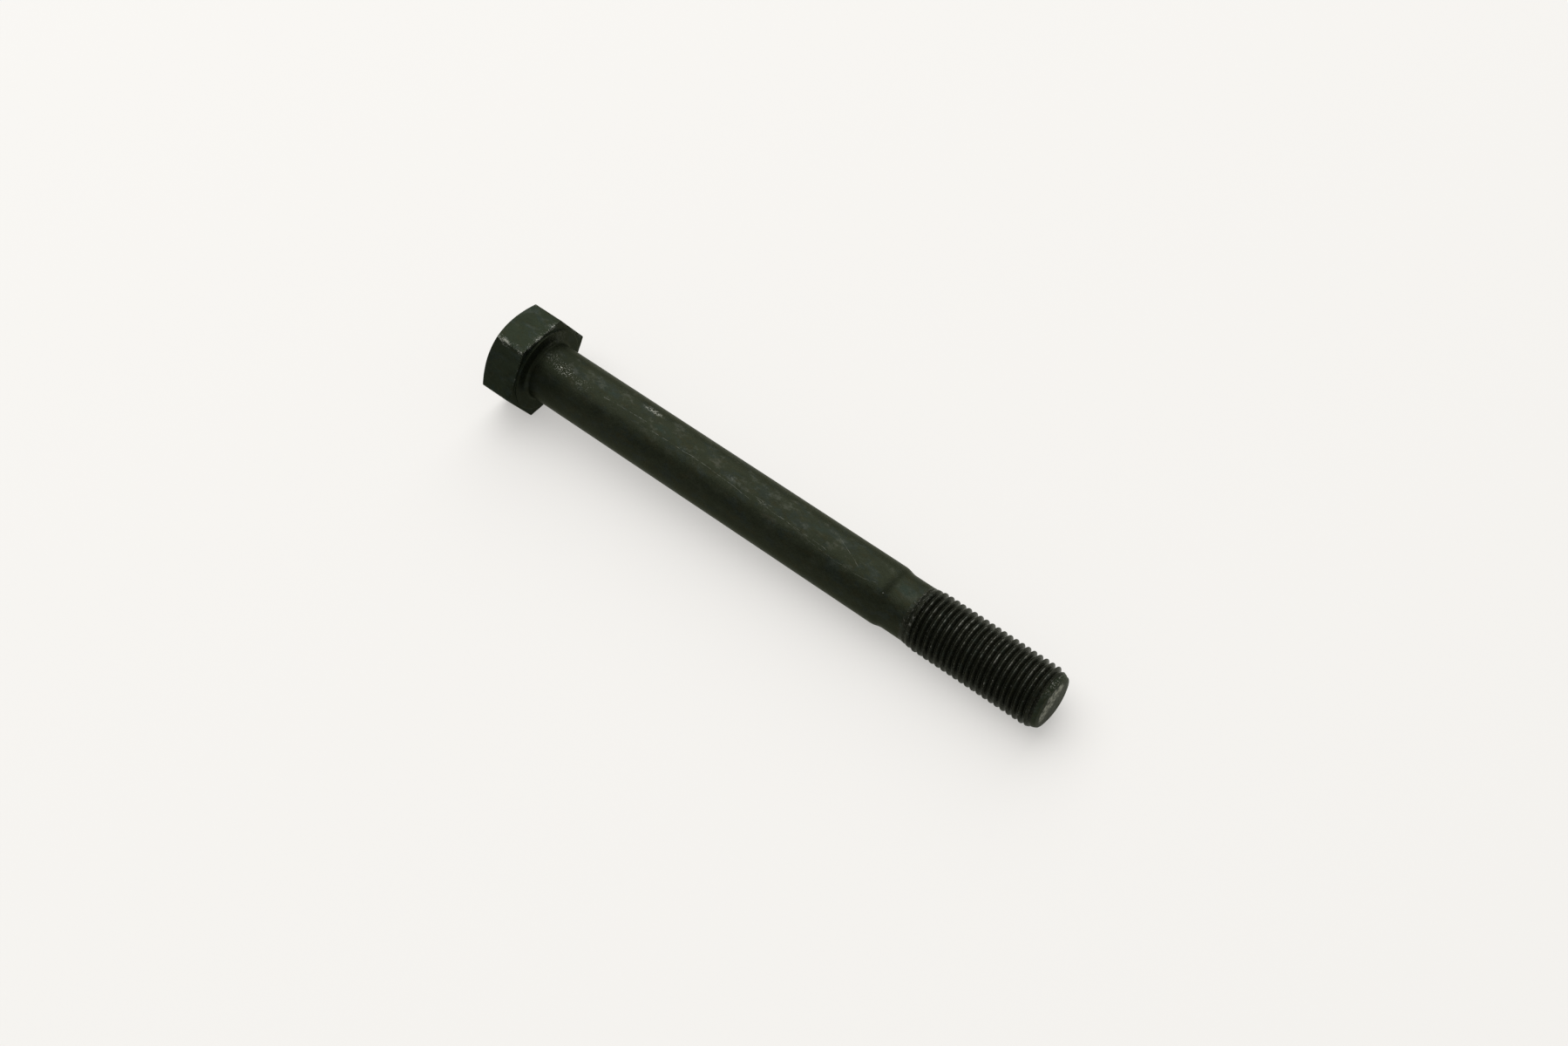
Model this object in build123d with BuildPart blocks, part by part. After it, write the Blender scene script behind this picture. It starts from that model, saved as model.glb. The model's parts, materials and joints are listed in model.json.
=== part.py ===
"""Cylinder head bolt: a long hexagon head bolt with an M14 x 1.5 rolled thread.

It is one forging. The head is upset and trimmed to a hexagon with a washer face, the end of
the shank is reduced to the rolling diameter, and the thread is rolled on that reduced end,
so that its crests stand as high as the plain shank.

The bolt lies on a level surface, on the edge of one head flat and on a crest at its end.
The origin is the centre of the washer face. The shank points along +X, and +Z is up.
"""

from build123d import *

import os
from math import atan2, ceil, cos, degrees, floor, radians, sin, tan

# ------------------------------------------------------------- driving dimensions, in mm

# Shank
length = 139.3  # from the washer face to the end
shank_diameter = 14.0
under_head_radius = 0.9  # fillet between the shank and the washer face

# Thread: metric fine, right-hand, 60 degrees
thread_diameter = 14.0
thread_pitch = 1.5
thread_length = 31.3  # at full height, from the end of the bolt to the run-out
runout_turns = 2  # turns over which the groove fades out
groove_floor = 0.24  # flat at the bottom of the groove

# Neck: plain length of the rolling diameter between the shoulder and the thread
neck_length = 5.5
shoulder_length = 1.8
shoulder_radius = 1.6  # rounds both ends of the shoulder

# Point: a cone, and beyond its rim a shallow dome with a flat end face
point_length = 2.8  # cone and dome
point_angle = 23.0  # of the cone against the axis
rim_radius = 0.4  # rounds the rim between the cone and the dome
dome_height = 0.4
end_face_diameter = 9.4

# Head
across_flats = 21.65
head_height = 9.3  # with the washer face
corner_radius = 0.5  # along the six long edges of the hexagon
chamfer_angle = 30.0  # against the top of the head
chamfer_crown = 0.06  # by which the chamfer bulges between its ends
top_margin = 0.225  # from the flats in to the round top that the chamfer leaves
washer_face_height = 0.45
washer_face_margin = 0.675  # from the flats in to the rim of the washer face

# --------------------------------------------------------------------- derived dimensions

shank_radius = shank_diameter / 2
crest_radius = thread_diameter / 2
flat_distance = across_flats / 2
top_radius = flat_distance - top_margin
washer_face_radius = flat_distance - washer_face_margin

# The groove is a 60 degree V with a narrow floor. An eighth of the pitch is left between its
# turns as the crest. It is drawn a little taller than it is deep, to cut clear of the crest.
half_angle = radians(30)
groove_mouth = thread_pitch * 7 / 8
groove_depth = (groove_mouth - groove_floor) / 2 / tan(half_angle)
groove_rise = thread_pitch / 15

# Rolling neither adds nor removes steel, so the neck has the pitch diameter of the thread:
# three eighths of the height of a full 60 degree triangle in from the crests
neck_radius = crest_radius - 3 / 8 * thread_pitch * cos(half_angle)

# Stations along the axis
thread_start = length - thread_length
runout_length = runout_turns * thread_pitch
runout_start = thread_start - runout_length
neck_start = runout_start - neck_length
shoulder_start = neck_start - shoulder_length
point_start = length - point_length
rim_station = length - dome_height
cone_end_radius = crest_radius - (rim_station - point_start) * tan(radians(point_angle))

# The bolt tips about the edge of its lowest flat, beside the washer face, until the last
# full crest of the thread or the end of the full shank touches the surface, whichever is
# first. A groove passes under the bolt at the start of the thread and once a pitch from there.
full_crests = floor((point_start - thread_start) / thread_pitch - 9 / 16)
last_crest = thread_start + (full_crests + 9 / 16) * thread_pitch
crest_tilt = atan2(flat_distance - crest_radius, last_crest + washer_face_height)
shank_tilt = atan2(flat_distance - shank_radius, shoulder_start + washer_face_height)
rest_tilt = min(crest_tilt, shank_tilt)
along = Vector(cos(rest_tilt), 0, -sin(rest_tilt))  # down the shank
upright = Vector(sin(rest_tilt), 0, cos(rest_tilt))  # square to the shank

bolt_axis = Axis((0, 0, 0), along)
side_section = Plane(origin=(0, 0, 0), x_dir=along, z_dir=upright)
lower_section = Plane(origin=(0, 0, 0), x_dir=along, z_dir=(0, 1, 0))
hexagon_base = Plane(origin=along * -washer_face_height, x_dir=upright, z_dir=-along)

# --------------------------------------------------------------------------- hexagon head

# A hexagonal prism, trimmed by a slightly crowned cone that leaves the round flat on top
trim_radius = 1.1 * flat_distance / cos(radians(30))
trim_drop = (trim_radius - top_radius) * tan(radians(chamfer_angle))
trim_foot = (-head_height + trim_drop, trim_radius)
trim_top = (-head_height, top_radius)

with BuildPart() as head:
    with BuildSketch(hexagon_base) as hexagon:
        RegularPolygon(flat_distance, 6, major_radius=False, rotation=30)
        fillet(hexagon.vertices(), corner_radius)
    extrude(amount=head_height - washer_face_height)
    with BuildSketch(side_section):
        with BuildLine():
            SagittaArc(trim_foot, trim_top, chamfer_crown)
            Polyline(
                trim_top,
                (-head_height, 0),
                (-washer_face_height, 0),
                (-washer_face_height, trim_radius),
                trim_foot,
            )
        make_face()
    revolve(axis=bolt_axis, mode=Mode.INTERSECT)

# -------------------------------------------------------------------------- thread groove

# Every turn of the groove starts on the underside of the bolt and winds back towards the
# head. In the run-out it also rises, from full depth until it clears the neck.
runout_lift = neck_radius - (crest_radius - groove_depth) + 0.04
runout_cone = atan2(runout_lift, runout_length)


def groove_section(station):
    """The groove's outline at full depth, centred at a station on the underside."""
    rim = crest_radius + groove_rise
    floor = crest_radius - groove_depth
    half_rim = groove_mouth / 2 + groove_rise * tan(half_angle)
    half_floor = groove_floor / 2
    with BuildSketch(lower_section) as section:
        with BuildLine():
            Polyline(
                (station - half_rim, rim),
                (station - half_floor, floor),
                (station + half_floor, floor),
                (station + half_rim, rim),
                close=True,
            )
        make_face()
    return section.sketch


with BuildPart() as runout:
    with BuildLine() as fading_turns:
        Helix(
            thread_pitch / cos(runout_cone),
            runout_length,
            crest_radius,
            center=along * thread_start,
            direction=-along,
            cone_angle=degrees(runout_cone),
        )
    sweep(groove_section(thread_start), fading_turns.line, is_frenet=True)

first_turn_end = thread_start + thread_pitch
with BuildPart() as first_turn:
    with BuildLine() as one_turn:
        Helix(
            thread_pitch,
            thread_pitch,
            crest_radius,
            center=along * first_turn_end,
            direction=-along,
        )
    sweep(groove_section(first_turn_end), one_turn.line, is_frenet=True)

# ----------------------------------------------------------------------------- whole bolt

full_turns = ceil(thread_length / thread_pitch) + 1
turns = [
    first_turn.part.moved(Location(along * number * thread_pitch)) for number in range(full_turns)
]

with BuildPart() as bolt:
    with BuildSketch(side_section):
        with BuildLine():
            outline = FilletPolyline(
                (-washer_face_height, 0),
                (-washer_face_height, washer_face_radius),
                (0, washer_face_radius),
                (0, shank_radius),
                (shoulder_start, shank_radius),
                (neck_start, neck_radius),
                (runout_start, neck_radius),
                (thread_start, crest_radius),
                (point_start, crest_radius),
                (rim_station, cone_end_radius),
                (length, end_face_diameter / 2),
                (length, 0),
                radius=[
                    0,
                    0,
                    under_head_radius,
                    shoulder_radius,
                    shoulder_radius,
                    0,
                    0,
                    0,
                    rim_radius,
                    0,
                ],
            )
            Line(outline @ 1, outline @ 0)
        make_face()
    revolve(axis=bolt_axis)
    # The turns and the run-out meet end to end, so they are all taken away in one cut
    add([runout.part, *turns], mode=Mode.SUBTRACT)
    add(head.part)

bolt.part.label = "bolt"
os.makedirs("parts", exist_ok=True)
export_step(bolt.part, "parts/bolt.step")

print(f"the bolt dips {degrees(rest_tilt):.3f} degrees; its groove is {groove_depth:.3f} mm deep")
print(f"shoulder at {shoulder_start:.1f}, neck at {neck_start:.1f}, thread at {thread_start:.1f} mm")
print(f"{bolt.part.volume:.1f} mm3, {len(bolt.part.solids())} solid, {len(bolt.part.faces())} faces")
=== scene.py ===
# %% [markdown]
# # A cylinder head bolt
# A bolt of this kind clamps the cylinder head of an engine to its block. It is one steel
# forging with an upset hexagon head, a plain shank and a rolled thread, blackened and oiled,
# and this one has been in and out of an engine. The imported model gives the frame: where the
# bolt lies and how large it is. This lesson builds the same bolt again as one fine mesh, with
# the rounded edges, nicks and run-out that a rolled bolt has, and then its worn black finish.

# %% Load the frame
import json
from math import cos, degrees, pi, radians, sin, sqrt, tan

import bpy
import numpy as np
from mathutils import Matrix, Vector


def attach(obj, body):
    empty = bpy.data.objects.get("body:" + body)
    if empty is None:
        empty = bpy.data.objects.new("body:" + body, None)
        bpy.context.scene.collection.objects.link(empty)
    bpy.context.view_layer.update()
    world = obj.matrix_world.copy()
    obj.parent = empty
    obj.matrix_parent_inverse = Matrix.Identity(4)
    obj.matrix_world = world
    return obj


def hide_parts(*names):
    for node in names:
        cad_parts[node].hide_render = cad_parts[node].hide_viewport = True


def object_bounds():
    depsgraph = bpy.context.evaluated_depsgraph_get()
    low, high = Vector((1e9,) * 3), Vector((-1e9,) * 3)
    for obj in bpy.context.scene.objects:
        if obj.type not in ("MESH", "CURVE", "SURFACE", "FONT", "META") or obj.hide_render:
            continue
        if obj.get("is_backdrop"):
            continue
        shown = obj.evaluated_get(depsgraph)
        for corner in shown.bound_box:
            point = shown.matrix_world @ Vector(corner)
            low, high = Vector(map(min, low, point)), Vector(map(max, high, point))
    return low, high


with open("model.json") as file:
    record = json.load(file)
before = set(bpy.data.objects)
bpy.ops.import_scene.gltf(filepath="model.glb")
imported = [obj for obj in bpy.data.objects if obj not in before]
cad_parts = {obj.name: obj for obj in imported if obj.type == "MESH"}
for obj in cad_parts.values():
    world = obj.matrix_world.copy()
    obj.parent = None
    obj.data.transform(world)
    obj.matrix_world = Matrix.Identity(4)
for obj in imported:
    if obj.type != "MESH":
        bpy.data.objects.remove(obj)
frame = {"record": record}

cad_low, cad_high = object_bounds()
mounts = {mount["name"]: mount for mount in frame["record"]["mounts"]}
print("CAD box in mm:", [round(1000 * value, 2) for value in (*cad_low, *cad_high)])

# %% [markdown]
# ## The way the bolt lies
# The bolt rests on the edge of one head flat and on a crest at its far end, so its axis dips a
# little. The washer face is the origin, and its mount gives the axis. Everything on the bolt
# is measured in three ways: the station along the axis, the radius, and the angle round from
# the top, turning as a right-hand screw does. One function turns those into places.

# %% Stations, radii and angles
MM = 0.001
along = np.array(Vector(mounts["bearing_face"]["axis"]).normalized())
side = np.array((0.0, -1.0, 0.0))
upward = np.cross(side, along)
floor_level = cad_low.z


def place(station, radius, angle):
    """Points in metres from stations and radii in mm and angles in degrees."""
    turn = np.radians(angle)[..., None]
    out = np.cos(turn) * upward + np.sin(turn) * side
    return MM * (np.asarray(station)[..., None] * along + np.asarray(radius)[..., None] * out)


dip = degrees(np.arcsin(-along[2]))
print(f"the axis dips {dip:.2f} degrees, to a floor at {floor_level / MM:.2f} mm")

# %% [markdown]
# ## Camera
# A short telephoto lens on a stand looks down at the bolt from the side of its threaded end.
# The camera could be aimed with a constraint, but an aim point, two angles and a small roll
# give its matrix directly, and leave nothing else in the scene.

# %% Put the camera on its stand
def put_in_scene(name, data):
    """Make an object of some data and add it to the scene."""
    made = bpy.data.objects.new(name, data)
    bpy.context.scene.collection.objects.link(made)
    return made


camera_aim = Vector((64.0 * MM, 5.8 * MM, floor_level))
camera_distance = 478.1 * MM
camera_azimuth, camera_elevation, camera_roll = radians(40.306), radians(52.434), radians(-1.37)

camera_data = bpy.data.cameras.new("camera")
camera_data.lens = 50
camera_data.sensor_width = 36
camera = put_in_scene("camera", camera_data)

away = Vector(
    (
        sin(camera_azimuth) * cos(camera_elevation),
        -cos(camera_azimuth) * cos(camera_elevation),
        sin(camera_elevation),
    )
)
level = Vector((cos(camera_azimuth), sin(camera_azimuth), 0))
right = cos(camera_roll) * level + sin(camera_roll) * away.cross(level)
camera.matrix_world = Matrix.Translation(camera_aim + camera_distance * away) @ Matrix(
    (right, away.cross(right), away)
).transposed().to_4x4()
bpy.context.scene.camera = camera
print("camera at", [round(value, 3) for value in camera.location])

# %% [markdown]
# ## Sizes
# These are the bolt's own measures in millimetres, the same as the frame was made with. The
# thread is M14 x 1.5. Its groove is a 60 degree V, here with the round root that a rolling
# die leaves, which touches the flat floor of the frame's groove.

# %% Sizes in millimetres
length = 139.3
shank_radius = crest_radius = 7.0
under_head_radius = 0.9

thread_pitch = 1.5
thread_length = 31.3
runout_length = 2 * thread_pitch
groove_depth = 0.929
groove_mouth = thread_pitch * 7 / 8

neck_length = 5.5
neck_radius = crest_radius - 3 / 8 * thread_pitch * cos(radians(30))
shoulder_length = 1.8
shoulder_rounding = 5.0

point_length = 2.8
point_slope = tan(radians(23))
dome_height = 0.4
end_face_radius = 4.7

flat_distance = 21.65 / 2
head_height = 9.3
corner_radius = 0.5
chamfer_slope = tan(radians(30))
chamfer_crown = 0.06
top_radius = flat_distance - 0.225
washer_face_height = 0.45
washer_face_radius = flat_distance - 0.675

thread_start = length - thread_length
runout_start = thread_start - runout_length
neck_start = runout_start - neck_length
shoulder_start = neck_start - shoulder_length
point_start = length - point_length
rim_station = length - dome_height
rim_radius = crest_radius - (point_length - dome_height) * point_slope
print(f"shoulder {shoulder_start:.1f}, neck {neck_start:.1f}, thread {thread_start:.1f} mm")

# %% [markdown]
# ## The outline of head and shank
# A turned part is its outline taken round the axis, and the Screw or Spin tool would do it.
# A hexagon head isn't turned, though its outline is the same all round but for two numbers:
# how far out the hexagon is at that angle, and where its chamfer starts. So the outline is
# worked out once for each angle, always with the same number of rows, and the rows join up
# into a grid. Small rounded corners in the outline give every edge a line of light.

# %% Rows of an outline with rounded corners
def outline_rows(corners, spans):
    """Rows of (station, radius) through corners, and the row in the middle of each corner.

    A corner is (station, radius, rounding, pieces), and spans[i] pieces lead to corner i + 1.
    """
    spots = [np.array(corner[:2]) for corner in corners]
    arcs = []
    for number, (_, _, rounding, pieces) in enumerate(corners):
        here = spots[number]
        if not rounding:
            arcs.append([here])
            continue
        back, forth = spots[number - 1] - here, spots[number + 1] - here
        shortest = min(np.linalg.norm(back), np.linalg.norm(forth))
        back, forth = back / np.linalg.norm(back), forth / np.linalg.norm(forth)
        bend = pi - np.arccos(np.clip(back @ forth, -1, 1))
        reach = min(rounding * tan(bend / 2), 0.45 * shortest)
        radius = reach / tan(bend / 2)
        middle = here + (back + forth) / np.linalg.norm(back + forth) * radius / cos(bend / 2)
        first, last = here + back * reach - middle, here + forth * reach - middle
        shares = np.linspace(0, 1, pieces + 1)[:, None]
        arcs.append(
            list(middle + (np.sin((1 - shares) * bend) * first + np.sin(shares * bend) * last) / sin(bend))
        )
    rows = list(arcs[0])
    middles = [0]
    for arc, pieces in zip(arcs[1:], spans):
        rows += [rows[-1] + (arc[0] - rows[-1]) * step / pieces for step in range(1, pieces)]
        middles.append(len(rows) + len(arc) // 2)
        rows += arc
    return np.array(rows), middles

# %% The hexagon at each angle
columns = 120
even_angles = np.arange(columns) * 360 / columns
rounding_start = 28.84  # degrees from the middle of a flat to its round corner
half_flat = [0, 5, 10, 15, 19.5, 23.5, 26.5, rounding_start, 29.3, 29.7]
flat_angles = half_flat + [30] + [60 - angle for angle in reversed(half_flat[1:])]
head_angles = np.array([60 * flat + angle for flat in range(6) for angle in flat_angles])
hexagon_corners = np.arange(30, 360, 60)
corner_arc_middle = (flat_distance - corner_radius) / cos(radians(30))
corner_distance = corner_arc_middle + corner_radius


def to_corner(angle):
    """The angle to the nearest corner, in radians. The flats face 0, 60, 120 ... degrees."""
    return np.radians(30 - abs((angle + 30) % 60 - 30))


def hexagon_radius(angle):
    """How far out the hexagon is, with its round corners."""
    off = to_corner(angle)
    if off > radians(30 - rounding_start):
        return flat_distance / cos(radians(30) - off)
    return corner_arc_middle * cos(off) + sqrt(corner_radius**2 - (corner_arc_middle * sin(off)) ** 2)


def chamfer_station(radius):
    """Where the slightly crowned chamfer has this radius."""
    crown_end = 1.1 * flat_distance / cos(radians(30))
    share = (radius - top_radius) / (crown_end - top_radius)
    crown = 4 * chamfer_crown * share * (1 - share) / cos(radians(30))
    return -head_height + (radius - top_radius) * chamfer_slope - crown


print(f"the hexagon is {hexagon_radius(30):.2f} mm out at its corners")

# %% [markdown]
# ## Bruised edges
# Sockets and other bolts bruise the edges of a hexagon: they press small flats into the long
# edges and round its rim unevenly. Sculpting would do it by hand. Here seeded waves set how
# deep each place is pressed, so the same bruises come back each time the script runs.

# %% How deep the edges are pressed
even_wear, dent_depth, dent_threshold = 0.05, 0.07, 0.25


def waves(position, wavelengths, seed):
    """A smooth uneven value, mostly between -1 and 1, along a position."""
    random = np.random.default_rng(seed)
    total = np.zeros(np.shape(position))
    for wavelength in wavelengths:
        phase, strength = random.uniform(0, 2 * pi), random.uniform(0.6, 1.0)
        total = total + strength * np.sin(2 * pi * np.asarray(position) / wavelength + phase)
    return total / len(wavelengths)


def pressed_edge(station, corner):
    """How far the long edge at one corner of the hexagon is pressed in, in mm."""
    worn = even_wear + even_wear * waves(station, (5.3, 2.9, 1.7), 40 + corner)
    dents = np.maximum(waves(station, (3.7, 1.3, 0.9), 50 + corner) - dent_threshold, 0)
    return np.maximum(worn, 0) + dent_depth * dents / (1 - dent_threshold)


def rim_rounding(angle, seed, smallest, largest):
    """An uneven rounding of a rim, in mm, that closes on itself after a turn."""
    uneven = waves(angle, (360 / 7, 360 / 13, 360 / 29), seed)
    return smallest + (largest - smallest) * (0.5 + 0.5 * np.clip(1.3 * uneven, -1, 1))


print(f"edges are pressed in by up to {max(pressed_edge(np.linspace(-9, 0, 90), 0)):.2f} mm")

# %% The outline at each angle
plain_neck = 3.4  # rings go this far along the neck, and winding rows take over
spans = [8, 2, 2, 2, 26, 3, 2, 6, 130, 2, 6]


def bolt_outline(angle):
    """Rows from the top of the head to the neck at one angle, and the rows of its corners."""
    out = hexagon_radius(angle)
    part_way = [top_radius + (out - top_radius) * share for share in (0.35, 0.7)]
    corners = [
        (-head_height, 1.2, 0, 0),
        (-head_height, top_radius, 0.2, 3),
        *[(chamfer_station(radius), radius, 0, 0) for radius in part_way],
        (chamfer_station(out), out, rim_rounding(angle, 61, 0.08, 0.2), 3),
        (-washer_face_height, out, rim_rounding(angle, 62, 0.12, 0.3), 4),
        (-washer_face_height, washer_face_radius, 0.1, 2),
        (0, washer_face_radius, rim_rounding(angle, 63, 0.07, 0.16), 3),
        (0, shank_radius, under_head_radius, 7),
        (shoulder_start, shank_radius, shoulder_rounding, 4),
        (neck_start, neck_radius, shoulder_rounding, 4),
        (neck_start + plain_neck, neck_radius, 0, 0),
    ]
    return outline_rows(corners, spans)


outlines = [bolt_outline(angle) for angle in head_angles]
corner_rows = outlines[0][1]
top_rim, chamfer_rim, bearing_rim, washer_rim = [corner_rows[number] for number in (1, 4, 5, 7)]
ring_station, ring_radius = np.moveaxis(np.stack([rows for rows, _ in outlines], axis=1), 2, 0)
ring_count = len(ring_station)
print(f"{ring_count} rows at {columns} angles")

# %% Press the edges in
press_width = radians(8)
unevenness = 0.012
ring_bruise = np.zeros(ring_radius.shape)
for corner, corner_angle in enumerate(hexagon_corners):
    off_corner = np.radians(head_angles - corner_angle)
    reach = corner_distance - pressed_edge(ring_station, corner)
    pressed = np.where(abs(off_corner) < press_width, reach / np.cos(off_corner), np.inf)
    pressed[washer_rim - 3 :] = np.inf
    ring_bruise += np.maximum(ring_radius - pressed, 0)
    ring_radius = np.minimum(ring_radius, pressed)

# The shank and the flats are slightly uneven, as drawn and forged steel is
uneven = 0.5 + 0.5 * waves(ring_station + 0.11 * head_angles, (41, 17, 7.3), 70)
ring_radius = ring_radius - unevenness * uneven * (ring_radius > neck_radius - 0.1)
print(f"the deepest bruise is {ring_bruise.max():.2f} mm")

# %% Even the columns out on the washer face
mean_radius = ring_radius.mean(axis=1)
even_within, uneven_beyond = 8.0, washer_face_radius - 0.15
on_head = np.where(
    ring_station.mean(axis=1) > -0.001,
    np.clip((mean_radius - even_within) / (uneven_beyond - even_within), 0, 1),
    1.0,
)
ring_angle = on_head[:, None] * head_angles + (1 - on_head[:, None]) * even_angles
print(f"columns are even from row {int(np.argmax(on_head == 0))} on")

# %% [markdown]
# ## The rolled thread
# A thread can be made with a Screw modifier from one tooth, but its ends then need cutting,
# and its run-out can't fade. Here the rows of the grid themselves wind round the bolt: each
# row climbs by one pitch in a turn and meets the row a pitch further on. Every row then stays
# on the same spot of the groove, so crests and roots are crisp with few rows, and the radius
# can follow any rule. In the run-out the groove lifts until it clears the neck, and at the
# point the cone takes over from the crests.

# %% The groove across one pitch
flank_lean = radians(30)  # half the angle of the V
root_radius = groove_mouth / 2 / tan(flank_lean) - groove_depth
crest_rounding = 0.06
crest_reach = crest_rounding * tan(flank_lean)
groove_steps = [0, 0.1, 0.18, 0.4, 0.639, 0.665, 0.691]
row_steps = [-step for step in reversed(groove_steps[1:])] + groove_steps + [thread_pitch / 2]
rows_per_pitch = len(row_steps)


def groove_cut(off_centre):
    """Depth of the groove at a distance along the axis from its middle."""
    off = np.abs(off_centre)
    flank = (groove_mouth / 2 - off) / tan(flank_lean)
    root = groove_depth - root_radius + np.sqrt(np.maximum(root_radius**2 - off**2, 0))
    edge = groove_mouth / 2 + crest_reach - off
    crest = crest_rounding - np.sqrt(np.maximum(crest_rounding**2 - np.maximum(edge, 0) ** 2, 0))
    cut = np.where(off < root_radius * cos(flank_lean), root, flank)
    return np.where(edge < crest_reach * (1 + sin(flank_lean)), crest, cut)


print(f"{rows_per_pitch} rows to a pitch; the root has a radius of {root_radius:.2f} mm")

# %% The path of the rows
tip_corners = [
    (point_start, crest_radius, 0, 0),
    (rim_station, rim_radius, 0.4, 8),
    (length, end_face_radius, 1.0, 3),
    (length, 1.0, 0, 0),
]
tip, _ = outline_rows(tip_corners, [4, 3, 1])
least_step = 0.12
tip_steps = np.maximum(np.hypot(*np.diff(tip, axis=0).T), least_step)
tip_travel = point_start + np.concatenate([[0], np.cumsum(tip_steps)])
core = np.array([(neck_start, neck_radius), (runout_start, neck_radius), (thread_start, crest_radius)])
travel_table = np.concatenate([core[:, 0], tip_travel])
station_table = np.concatenate([core[:, 0], tip[:, 0]])
radius_table = np.concatenate([core[:, 1], tip[:, 1]])
face_travel, face_radius = tip_travel[-2], tip[-2, 1]
print(f"the end face is flat within {face_radius:.2f} mm")

# %% The winding rows
groove_at_top = thread_start + thread_pitch / 2
lead_in = 1.2  # winding rows start at least this far past the rings
first_turn = -int((groove_at_top - neck_start - plain_neck - lead_in) / thread_pitch)
turns = range(first_turn, int((face_travel - groove_at_top) / thread_pitch) + 1)
row_travel = np.array(
    [groove_at_top + turn * thread_pitch + step for turn in turns for step in row_steps]
)
past_face = 0.1  # the last row lies at least this far past the end face's edge
row_travel = row_travel[: np.searchsorted(row_travel, face_travel + past_face) + 1]
climb = thread_pitch * even_angles / 360
travel = row_travel[:, None] + climb

winding_angle = np.broadcast_to(even_angles, travel.shape)
winding_station = np.interp(travel, travel_table, station_table)
blank_radius = np.interp(travel, travel_table, radius_table)
off_centre = (winding_station - climb - groove_at_top + thread_pitch / 2) % thread_pitch - thread_pitch / 2
clear_of_neck = 0.04
groove_lift = (neck_radius - crest_radius + groove_depth + clear_of_neck) * np.maximum(
    (thread_start - (winding_station - off_centre)) / runout_length, 0
)
groove_radius = crest_radius - groove_cut(off_centre) + groove_lift
winding_radius = np.minimum(blank_radius, groove_radius)
winding_count = len(row_travel)
print(f"{winding_count} winding rows")

# %% [markdown]
# ## Dinged crests
# Crests are thin and soft, and knocks leave small flats on them. Each ding follows the helix,
# so it stays on its crest, and takes a shallow bite off its height.

# %% Take small bites out of the crests
chance = np.random.default_rng(14)
winding_whole = winding_radius.copy()
ding_count, ding_reach = 45, 0.7
chosen_dings = [(106.2, 40), (108.5, 2), (110.6, 30)]
dings = [(station, angle, 0.4, 0.06) for station, angle in chosen_dings]
for _ in range(ding_count):
    dings.append(
        (
            chance.uniform(runout_start + 1.5, point_start + 1),
            chance.uniform(0, 360),
            chance.uniform(0.2, 0.7),
            chance.uniform(0.02, 0.09),
        )
    )
for station, angle, half_length, depth in dings:
    off_round = (winding_angle - angle + 180) % 360 - 180
    round_share = np.radians(off_round) * crest_radius / half_length
    along_share = (winding_station - station - thread_pitch * off_round / 360) / ding_reach
    bite = depth * np.maximum(1 - round_share**2, 0) * (abs(along_share) < 1)
    top = np.minimum(blank_radius, crest_radius) - bite
    winding_radius = np.where(bite > 0, np.minimum(winding_radius, top), winding_radius)

winding_bruise = winding_whole - winding_radius
print(f"{len(dings)} dings, the deepest {winding_bruise.max():.2f} mm")

# %% Make the crests slightly uneven
turn_number = np.floor((winding_station - climb - groove_at_top) / thread_pitch)
crest_wave = 0.5 + 0.5 * waves(winding_angle + 360 * turn_number, (97, 41, 23), 80)
winding_radius = np.minimum(winding_radius, crest_radius - unevenness * crest_wave)
print(f"crests are between {crest_radius - unevenness:.3f} and {winding_radius.max():.3f} mm out")

# %% [markdown]
# ## One closed mesh
# Rings and winding rows are one skin. They join on the neck, and again on the flat end face,
# where a polygon takes up the step of one pitch. Each corner of a face also keeps where it is
# on the unrolled bolt, because a closed skin needs two values there, at the start and the end
# of a turn.

# %% All rows together
last_blank = face_radius - (travel[-1, -1] + thread_pitch / columns - face_travel)
inner_ring = last_blank - 0.5
inner_radii = [inner_ring, inner_ring / 2]
inner_station = np.full((2, columns), length)
inner_radius = np.repeat(inner_radii, columns).reshape(2, columns)
inner_angle = np.broadcast_to(even_angles, (2, columns))

stations = np.concatenate([ring_station, winding_station, inner_station])
radii = np.concatenate([ring_radius, winding_radius, inner_radius])
angles = np.concatenate([ring_angle, winding_angle, inner_angle])
winding_first = ring_count
winding_last = ring_count + winding_count - 1
head_centre = stations.size
end_centre = stations.size + 1
print(f"{len(stations)} rows of {columns} points")

# %% Join the rows
def corner_point(row, column):
    """A point by row and column. Past the last column is the row's first, or the row's a pitch on."""
    if column < columns:
        return row * columns + column
    if winding_first <= row <= winding_last:
        row += rows_per_pitch
    return row * columns


faces, turned = [], []  # a face's points, and for each whether it ends a full turn


def add_face(*spots):
    """Add a face through (row, column) spots."""
    faces.append([corner_point(row, column) for row, column in spots])
    turned.append([column == columns for row, column in spots])


def add_band(row, next_row, band_columns):
    """Join two rows."""
    for column in range(band_columns):
        add_face((row, column), (row, column + 1), (next_row, column + 1), (next_row, column))


neck_ring, end_ring = ring_count - 1, winding_last + 1
for row in range(neck_ring):
    add_band(row, row + 1, columns)
for row in range(winding_first, winding_last):
    add_band(row, row + 1, columns if row + 1 + rows_per_pitch <= winding_last else columns - 1)
add_band(neck_ring, winding_first, columns - 1)
add_band(winding_last, end_ring, columns - 1)
add_band(end_ring, end_ring + 1, columns)
print(f"{len(faces)} faces in the bands")

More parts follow.
